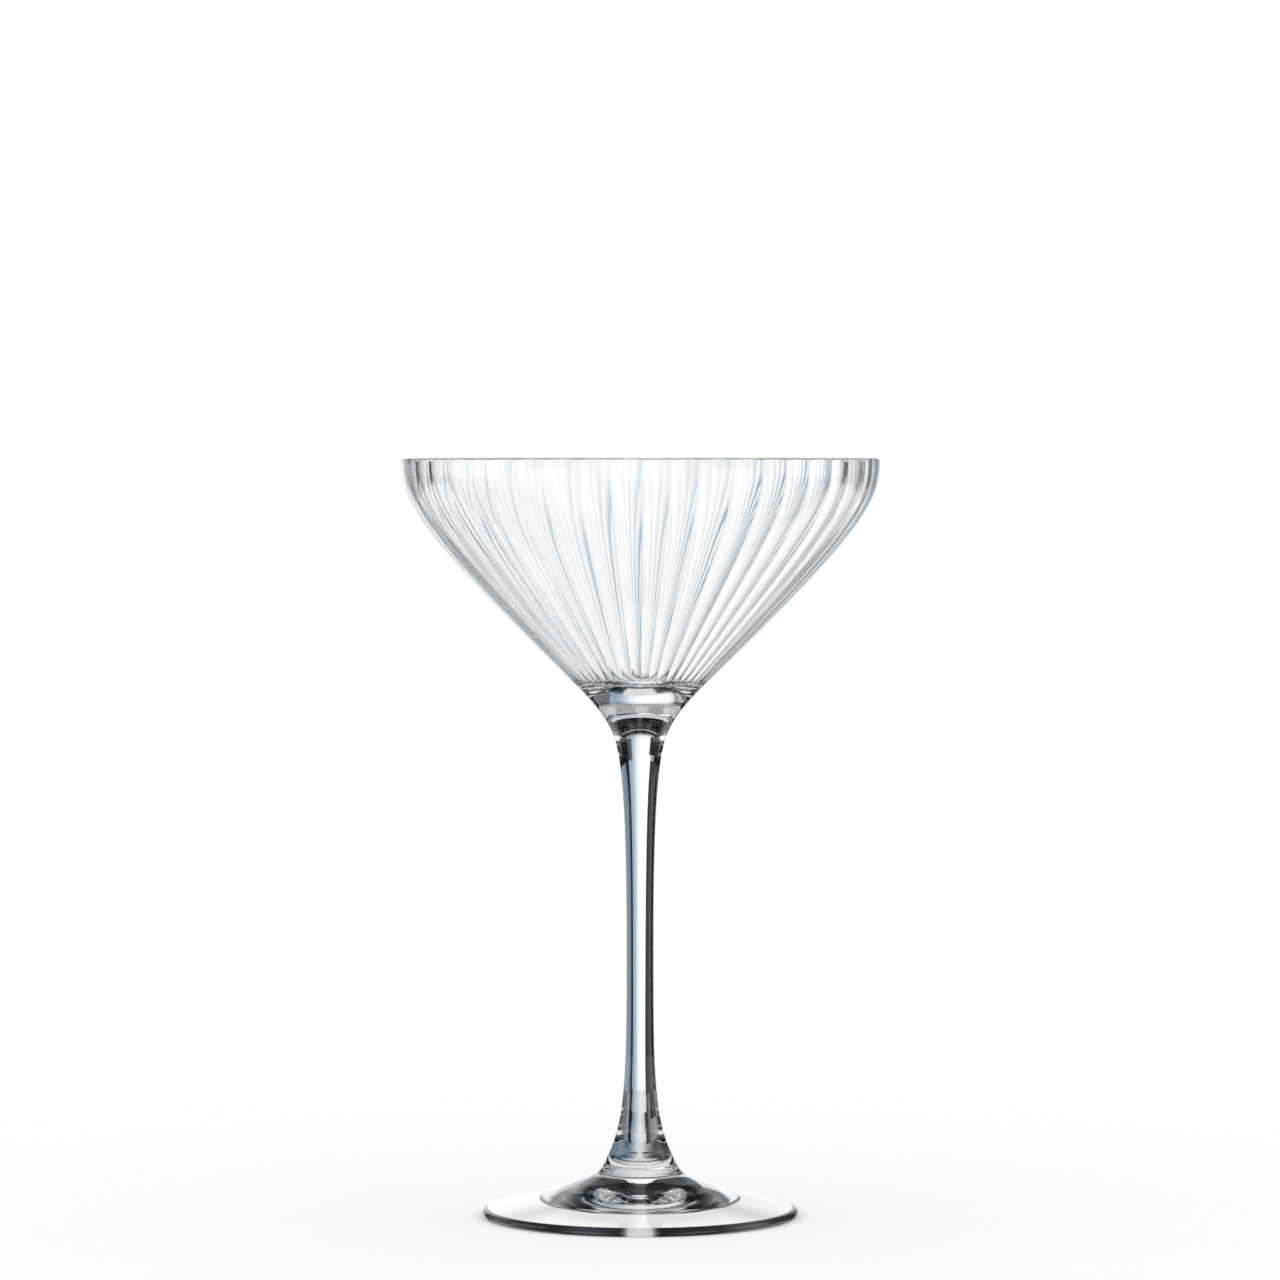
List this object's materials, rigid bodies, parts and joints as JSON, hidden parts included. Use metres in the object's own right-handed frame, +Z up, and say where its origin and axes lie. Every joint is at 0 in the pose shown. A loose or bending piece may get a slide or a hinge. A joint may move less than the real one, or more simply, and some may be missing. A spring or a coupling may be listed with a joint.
{
  "type": "martini glass",
  "caption": "Stemmed coupe martini glass with a flaring bowl ribbed on the inside, a slim solid stem that flares at both ends, and a round disc foot, for serving cocktails.",
  "frame": {"origin": "centre of the foot's resting ring, on the surface that the glass stands on", "axes": "+Z up along the axis of the glass, from the foot to the rim; the glass is round, so +X and +Y are free, with a rib's ridge on each"},
  "size_m": [0.1082, 0.1082, 0.1716],
  "materials": {
    "clear_glass": "polished clear glass with a faint cool tint, smooth outside and softly ribbed inside the bowl"
  },
  "bodies": {
    "root": {"bowl": "clear_glass", "stem": "clear_glass", "foot": "clear_glass"}
  },
  "joints": []
}
